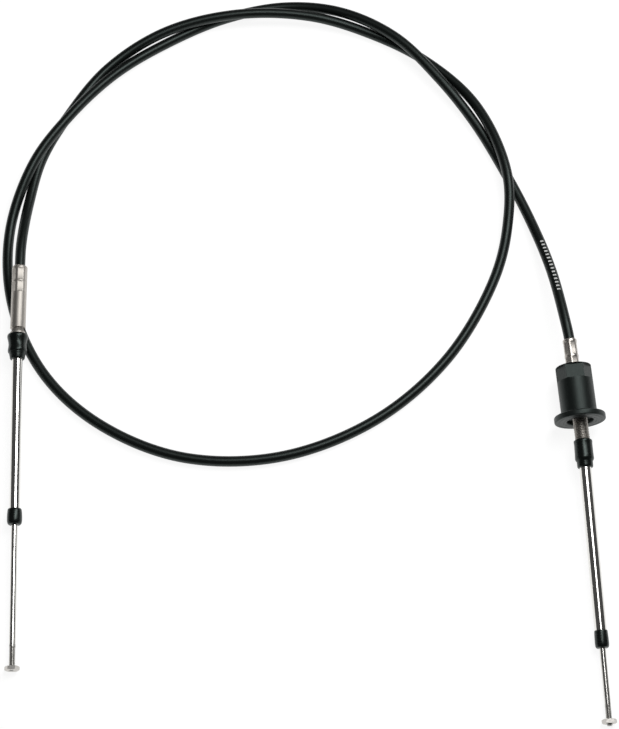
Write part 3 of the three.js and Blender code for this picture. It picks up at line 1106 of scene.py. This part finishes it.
@dataclass
class LeftEnd(EndFitting):
    """Crimped hub with a clamp groove.

    Attributes:
        hub_diameter: Over the hub.
        crimps: Start and end of each crimped band.
        crimp_depth: Depth of the flats.
        groove: Start and end of the clamp groove.
        groove_diameter: At its floor.
    """

    hub_diameter: float = 11.6
    crimps: tuple[tuple[float, float], ...] = ((3.0, 12.0), (13.6, 21.6))
    crimp_depth: float = 0.45
    groove: tuple[float, float] = (50.6, 53.8)
    groove_diameter: float = 8.6

    def build_hub(self) -> None:
        """Makes the hub."""
        outer, floor = self.hub_diameter / 2, self.groove_diameter / 2
        ball = self.ball_diameter / 2 + 0.3
        shape = TurnedShape((
            (self.cable_mouth, 26.0), (self.cable_mouth, 0.3), (self.cable_mouth + 0.3, 0.0),
            (outer - 0.8, 0.0), (outer, 0.8),
            *crimp_rings(outer, self.crimps),
            (outer, self.groove[0]), (floor, self.groove[0]),
            (floor, self.groove[1]), (outer, self.groove[1]),
            (outer, self.hub_length), (ball, self.hub_length),
            (ball, self.hub_length - 5.3), (2.0, self.hub_length - 5.3), (2.0, 26.0),
        ), sides=96).rounded(0.18)
        press_crimps(shape, self.crimps, self.hub_diameter - 2 * self.crimp_depth, floor + 0.3)
        self.on_hub(
            shape.mesh,
            Piece(*self.named("hub", "crimped"), Body.CABLE, GROOVED_STEEL, crease=17),
        )


@dataclass
class RightEnd(EndFitting):
    """Crimp ferrule on a threaded barrel, with the hull fitting screwed on.

    Attributes:
        ferrule_diameter: Over the ferrule.
        ferrule_length: Length of the ferrule.
        thread_root: Radius of the bar inside the barrel's thread.
        crimps: Start and end of each crimped band.
        crimp_depth: Depth of the flats.
        barrel: Thread of the barrel.
        fitting: Profile of the hull fitting.
        wrench_flats: Distance between two flats of its hexagon, and their start and end.
        wrench_turn: Angle by which the hexagon is turned, in degrees.
    """

    ferrule_diameter: float = 10.6
    ferrule_length: float = 24.0
    thread_root: float = 4.75
    crimps: tuple[tuple[float, float], ...] = ((2.4, 12.4), (14.3, 22.8))
    crimp_depth: float = 0.45
    barrel: Thread = Thread(11.05, 1.27, 24.5, 80.9, 0.6, 40, 4.65)
    fitting: Profile = (
        (5.85, 21.4), (13.4, 21.4), (13.4, 32.6), (13.4, 33.0), (13.4, 58.6), (14.4, 59.7),
        (19.2, 59.7), (19.2, 64.3), (16.6, 64.3), (16.5, 64.15), (16.1, 64.15), (16.0, 64.3),
        (12.6, 64.3), (12.5, 64.15), (12.2, 64.15), (12.1, 64.3),
        (10.0, 64.3), (10.0, 60.3), (5.85, 60.3),
    )
    wrench_flats: tuple[float, float, float] = (23.21, 21.4, 32.8)
    wrench_turn: float = -3.75

    def build_hub(self) -> None:
        """Makes the ferrule, the threaded barrel and the hull fitting."""
        outer, root = self.ferrule_diameter / 2, self.thread_root
        ferrule = TurnedShape((
            (self.cable_mouth, 26.0), (self.cable_mouth, 0.25), (self.cable_mouth + 0.25, 0.0),
            (outer - 0.4, 0.0), (outer, 0.4),
            *crimp_rings(outer, self.crimps),
            (outer, self.ferrule_length), (root, self.ferrule_length + 0.6),
            (root, 26.0),
        ), sides=96).rounded(0.15)
        press_crimps(ferrule, self.crimps, self.ferrule_diameter - 2 * self.crimp_depth, 4.4)
        ferrule.threaded(self.barrel)
        self.on_hub(
            ferrule.mesh,
            Piece(*self.named("hub", "threaded"), Body.CABLE, SATIN_STEEL, crease=17),
        )
        fitting = TurnedShape(self.fitting, sides=96).rounded(1.0, angle=60, segments=5)
        flats, start, end = self.wrench_flats
        fitting.flattened(flats, start + 0.75, end, inner=12.3, turn=self.wrench_turn)
        self.on_hub(
            fitting.mesh,
            Piece("hull_fitting_moulded", "hull_fitting", Body.CABLE, NYLON, crease=24),
        )


def crimp_rings(radius: float, crimps: Sequence[tuple[float, float]]) -> Profile:
    """Rings just outside and just inside each end of each crimped band.

    Args:
        radius: Radius of the bar.
        crimps: Start and end of each band.

    Returns:
        The rings.
    """
    heights = []
    for start, end in crimps:
        heights += [start - 0.3, start + 0.1, start + 0.6, end - 0.6, end - 0.1, end + 0.3]
    return tuple((radius, height) for height in heights)


def press_crimps(
    shape: TurnedShape, crimps: Sequence[tuple[float, float]], across_flats: float, inner: float
) -> None:
    """Presses the flats of each crimped band, a little shallower at its two ends.

    Args:
        shape: The bar.
        crimps: Start and end of each band.
        across_flats: Distance between two flats.
        inner: Radius up to which nothing moves.
    """
    for start, end in crimps:
        shape.flattened(across_flats + 0.3, start, end, inner, CRIMP_TURN)
        shape.flattened(across_flats, start + 0.3, end - 0.3, inner, CRIMP_TURN)


@dataclass
class Studio:
    """Pale floor, soft overhead light and the camera of the photograph.

    Attributes:
        target: What the camera looks at, in metres.
        eye: Where it stands.
        lens: Focal length, for a sensor 36 mm on its long side.
        floor_size: Half the side of the floor.
    """

    target: tuple[float, float, float] = (0.0042, 0.1028, 0.0)
    eye: tuple[float, float, float] = (0.0042, -0.5340, 1.5762)
    lens: float = 110.46
    floor_size: float = 6.0

    def place_camera(self) -> None:
        """Makes the camera."""
        data = bpy.data.cameras.new("camera")
        data.sensor_width = 36.0
        data.lens = self.lens
        data.clip_start, data.clip_end = 0.05, 50.0
        camera = bpy.data.objects.new("camera", data)
        bpy.context.scene.collection.objects.link(camera)
        camera.location = self.eye
        camera.rotation_euler = aim(Vector(self.eye), Vector(self.target))
        bpy.context.scene.camera = camera

    def lay_floor(self) -> None:
        """Makes the floor."""
        sheet = bmesh.new()
        bmesh.ops.create_grid(sheet, x_segments=2, y_segments=2, size=self.floor_size)
        bmesh.ops.translate(sheet, vec=(0, 0, -0.0003), verts=sheet.verts)
        data = bpy.data.meshes.new("floor")
        sheet.to_mesh(data)
        sheet.free()
        data.materials.append(FLOOR.material())
        floor = bpy.data.objects.new("floor", data)
        bpy.context.scene.collection.objects.link(floor)

    def hang_light(
        self, name: str, place: tuple[float, float, float], size: tuple[float, float], power: float
    ) -> None:
        """Makes a soft rectangular light that faces the middle of the cable.

        Args:
            name: The light's name.
            place: Where it hangs.
            size: Its width and height.
            power: Its power.
        """
        data = bpy.data.lights.new(name, "AREA")
        data.shape = "RECTANGLE"
        data.size, data.size_y = size
        data.energy = power
        light = bpy.data.objects.new(name, data)
        bpy.context.scene.collection.objects.link(light)
        light.location = place
        light.rotation_euler = aim(Vector(place), Vector((0, 0.1, 0)))

    def surround(self, strength: float) -> None:
        """Sets the dim room around."""
        world = bpy.data.worlds.new("room")
        bpy.context.scene.world = world
        world.use_nodes = True
        backdrop = world.node_tree.nodes["Background"]
        backdrop.inputs["Color"].default_value = (1.0, 1.0, 1.0, 1.0)
        backdrop.inputs["Strength"].default_value = strength

    def build(self) -> None:
        """Makes all of it."""
        self.place_camera()
        self.lay_floor()
        self.hang_light("softbox", (0.50, 0.55, 1.40), (0.52, 1.30), 13.5)
        self.surround(0.07)
        bpy.context.scene.view_settings.view_transform = "Standard"


def aim(eye: Vector, target: Vector) -> object:
    """Turn of a camera or light that looks from one point at another."""
    return (target - eye).to_track_quat("-Z", "Y").to_euler()


LEFT_END = LeftEnd(
    side="left",
    exit_point=(-0.21730, 0.17635, 0.01760),
    azimuth=0.7,
    slope=2.3558,
    swivel_rest=0.9,
    hub_length=57.4,
    boot=(
        (5.85, -0.4), (6.7, -0.4), (7.4, 0.0), (7.78, 0.8), (7.82, 1.8), (7.65, 3.0),
        (7.25, 4.4), (6.9, 6.1), (6.76, 7.8), (6.82, 9.4), (7.05, 11.0), (7.2, 12.4),
        (7.18, 13.5), (6.95, 14.1), (6.4, 14.2), (6.35, 14.6), (6.3, 15.4), (6.05, 15.5),
        (6.05, 16.5), (5.8, 16.6), (5.8, 17.6), (5.6, 17.7), (5.6, 18.8), (5.35, 19.3),
        (4.9, 19.6), (3.98, 19.6), (3.98, 4.4), (5.85, 3.1),
    ),
    boot_bend=(1.0, 11.0),
    tube_diameter=7.9,
    tube_length=146.0,
    seal=(
        (3.98, 136.55), (4.7, 136.55), (5.1, 137.0), (5.3, 138.0), (5.45, 139.6), (5.56, 141.4),
        (5.6, 143.4), (5.58, 145.2), (5.45, 146.6), (5.1, 147.8), (4.5, 148.5), (3.7, 148.75),
        (2.45, 148.75), (2.45, 146.15), (3.98, 146.15),
    ),
    rod_start=74.5,
    rod_tip=257.6,
    thread_start=239.9,
    nut_end=257.2,
    rod_finish=LEFT_ROD_STEEL,
    swivel_body=Body.LEFT_SWIVEL,
    plunger_body=Body.LEFT_PLUNGER,
)

RIGHT_END = RightEnd(
    side="right",
    exit_point=(0.19974, 0.11335, 0.023154),
    azimuth=5.1,
    slope=3.6458,
    swivel_rest=-2.1,
    hub_length=81.1,
    boot=(
        (5.6, -0.5), (6.3, -0.5), (6.8, -0.1), (6.95, 0.6), (6.9, 1.4), (6.8, 2.2),
        (6.8, 4.0), (6.85, 7.0), (6.9, 10.0), (7.0, 12.0), (7.05, 13.4), (6.95, 14.3),
        (6.6, 15.0), (6.1, 15.7), (5.98, 16.3), (5.95, 18.8), (5.85, 20.0), (5.3, 20.7),
        (4.53, 20.8), (4.53, 3.9), (5.6, 2.6),
    ),
    boot_bend=(1.0, 11.0),
    tube_diameter=9.0,
    tube_length=151.4,
    seal=(
        (4.53, 142.65), (4.75, 142.65), (4.85, 142.9), (4.92, 144.0), (5.0, 145.8), (5.08, 148.0),
        (5.14, 150.5), (5.13, 152.6), (4.95, 154.0), (4.5, 155.0), (3.9, 155.35),
        (2.45, 155.35), (2.45, 151.55), (4.53, 151.55),
    ),
    rod_start=22.1,
    rod_tip=211.45,
    thread_start=196.0,
    nut_end=209.85,
    rod_finish=RIGHT_ROD_STEEL,
    swivel_body=Body.RIGHT_SWIVEL,
    plunger_body=Body.RIGHT_PLUNGER,
)


def corners(bounds: tuple[Vector, Vector]) -> list[list[float]]:
    """The two corners of a box as plain lists."""
    return [list(corner) for corner in bounds]


def main() -> None:
    """Loads the frame and builds the cable, its two ends and the studio."""
    logging.basicConfig(level=logging.INFO, format="%(message)s")
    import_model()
    Studio().build()
    Conduit(LEFT_END.hub_frame(), RIGHT_END.hub_frame()).build()
    for end in (LEFT_END, RIGHT_END):
        end.build()


if __name__ == "__main__":
    main()
